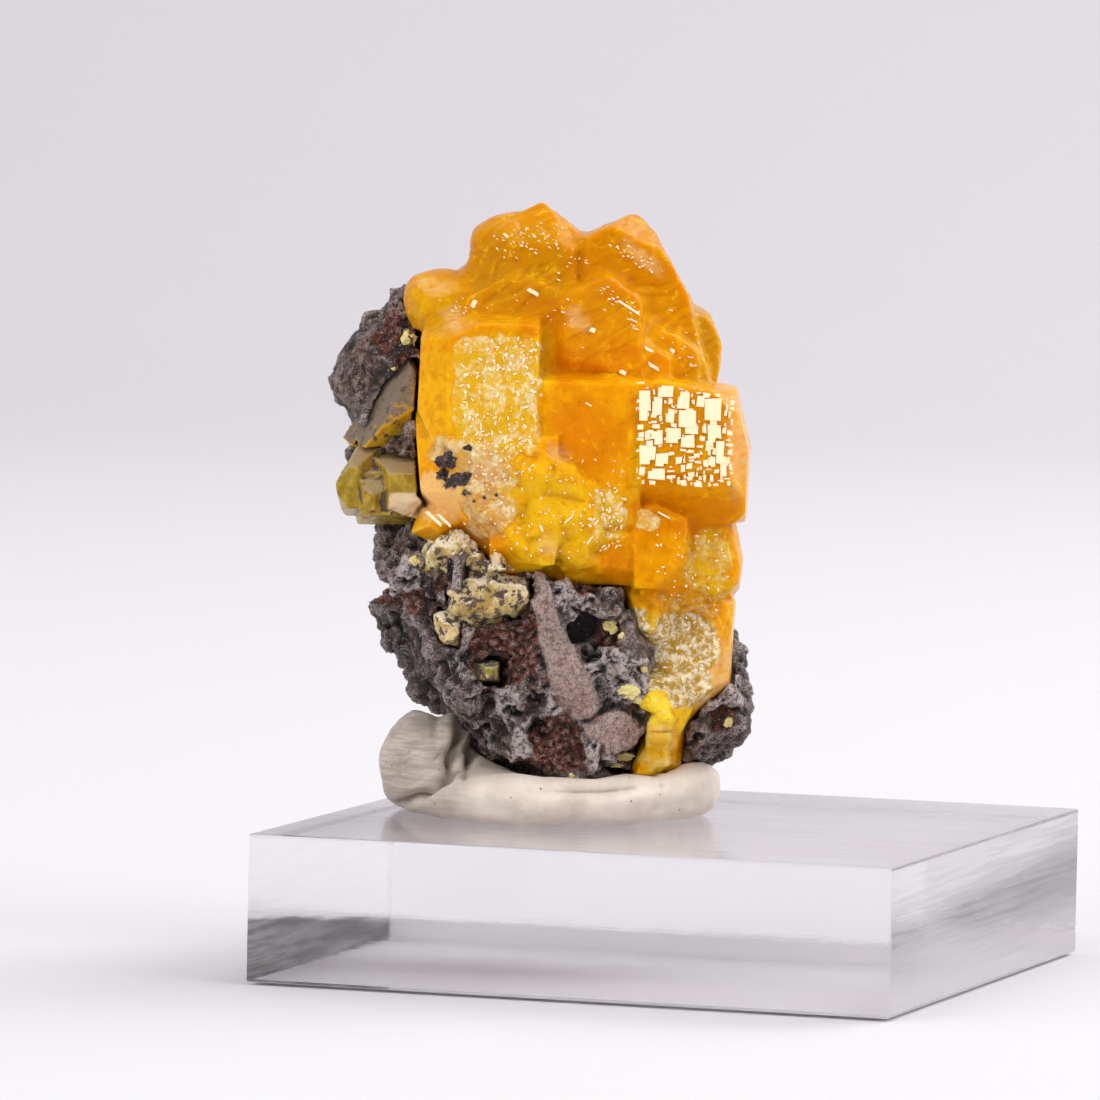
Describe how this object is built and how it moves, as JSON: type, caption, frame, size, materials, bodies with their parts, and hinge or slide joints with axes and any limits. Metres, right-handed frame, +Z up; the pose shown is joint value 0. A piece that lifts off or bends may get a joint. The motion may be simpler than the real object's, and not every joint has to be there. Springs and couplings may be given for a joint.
{
  "type": "mineral specimen on a display block",
  "caption": "Amber to lemon-yellow mimetite crystals grown on dark pitted rock, pressed in putty on a square clear acrylic block.",
  "frame": {"origin": "middle of the acrylic block's underside, where the part rests", "axes": "+Z up; the block's front face looks along -Y and its left side along -X; the specimen is turned 18.35 degrees about +Z from the block"},
  "size_m": [0.0482, 0.045, 0.0518],
  "materials": {
    "clear_acrylic": "polished top and front, saw-marked sides",
    "grey_putty": "smooth, slightly waxy",
    "dark_ironstone": "rough, pitted, with a metallic grey bloom",
    "amber_mimetite": "translucent, resinous, partly etched",
    "olive_mimetite": "translucent, resinous",
    "crusted_mimetite": "yellow crystal under a grey crust",
    "pale_mimetite": "dull, finely crystalline crust"
  },
  "bodies": {
    "root": {"acrylic_block": "clear_acrylic", "putty": "grey_putty", "matrix_rock": "dark_ironstone", "main_crystals": "amber_mimetite", "left_crystals": "olive_mimetite", "blade_crystal": "crusted_mimetite", "front_crust": "pale_mimetite", "pocket_crystal": "olive_mimetite"}
  },
  "joints": []
}
